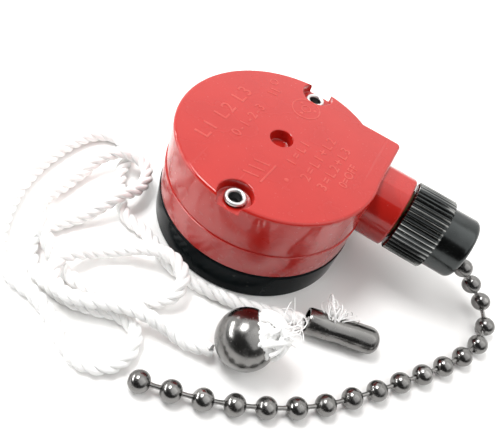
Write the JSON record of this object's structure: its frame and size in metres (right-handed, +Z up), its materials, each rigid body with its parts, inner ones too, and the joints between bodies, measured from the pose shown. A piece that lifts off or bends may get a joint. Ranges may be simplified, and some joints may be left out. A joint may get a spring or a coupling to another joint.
{
  "type": "pull cord switch",
  "caption": "Round pull cord switch: red drum housing on a black terminal base, threaded nozzle with knurled nut, ball chain, and a loose white pull cord with connector and hollow knob.",
  "frame": {"origin": "centre of the base's underside, on the axis of the drum", "axes": "+X along the nozzle, away from the drum; +Z up through the drum; +Y towards the side that the nozzle is offset to"},
  "size_m": [0.0764, 0.0538, 0.018],
  "materials": {
    "red_plastic": "glossy moulded plastic",
    "black_plastic": "glossy moulded plastic",
    "black_nickel": "black nickel plate",
    "bright_zinc": "bright zinc plate",
    "brass": "satin brass",
    "copper": "satin copper",
    "spring_steel": "bright drawn steel",
    "cream_nylon": "matt moulded nylon",
    "white_cord": "twisted white cord"
  },
  "bodies": {
    "casing": {"housing": "red_plastic", "terminal_base": "black_plastic", "front_rivet": "bright_zinc", "rear_rivet": "bright_zinc", "threaded_nozzle": "brass", "pivot_pin": "spring_steel", "return_spring": "spring_steel", "detent_spring": "spring_steel", "terminal_contact_1": "brass", "terminal_contact_2": "brass", "terminal_contact_3": "brass", "terminal_contact_4": "brass", "wire_clamp_1": "spring_steel", "wire_clamp_2": "spring_steel", "wire_clamp_3": "spring_steel", "wire_clamp_4": "spring_steel"},
    "nut": {"nozzle_nut": "black_nickel"},
    "chain": {"inner_chain": "black_nickel", "chain_end_pin": "brass", "bead_chain": "black_nickel"},
    "driver": {"pull_drum": "cream_nylon", "drive_pawl": "spring_steel"},
    "rotor": {"contact_rotor": "cream_nylon", "contact_disc": "copper", "ratchet_wheel": "spring_steel"},
    "cord": {"pull_cord": "white_cord", "cord_connector": "black_nickel", "pull_knob": "black_nickel", "cord_knot": "white_cord"}
  },
  "joints": [
    {"name": "chain_pull", "type": "slide", "parent": "casing", "child": "chain", "axis": [1, 0, 0], "range_m": [0, 0.01], "stiffness_N_per_m": 400, "springref_m": -0.012},
    {"name": "drum_turn", "type": "hinge", "parent": "casing", "child": "driver", "pos_m": [0, 0, 0.0092], "axis": [0, 0, 1], "range_deg": [-81, 0]},
    {"name": "rotor_turn", "type": "hinge", "parent": "casing", "child": "rotor", "pos_m": [0, 0, 0.0068], "axis": [0, 0, 1], "range_deg": [-81, 0]},
    {"name": "nut_turn", "type": "hinge", "parent": "casing", "child": "nut", "pos_m": [0.0264, 0.00592, 0.0116], "axis": [1, 0, 0], "continuous": true},
    {"name": "cord_lift", "type": "slide", "parent": "casing", "child": "cord", "axis": [0, 0, 1], "range_m": [0, 0.06]}
  ],
  "couplings": [
    {"joint": "drum_turn", "follows": "chain_pull", "rad_per_m": -140.27},
    {"joint": "rotor_turn", "follows": "chain_pull", "rad_per_m": -140.27}
  ]
}
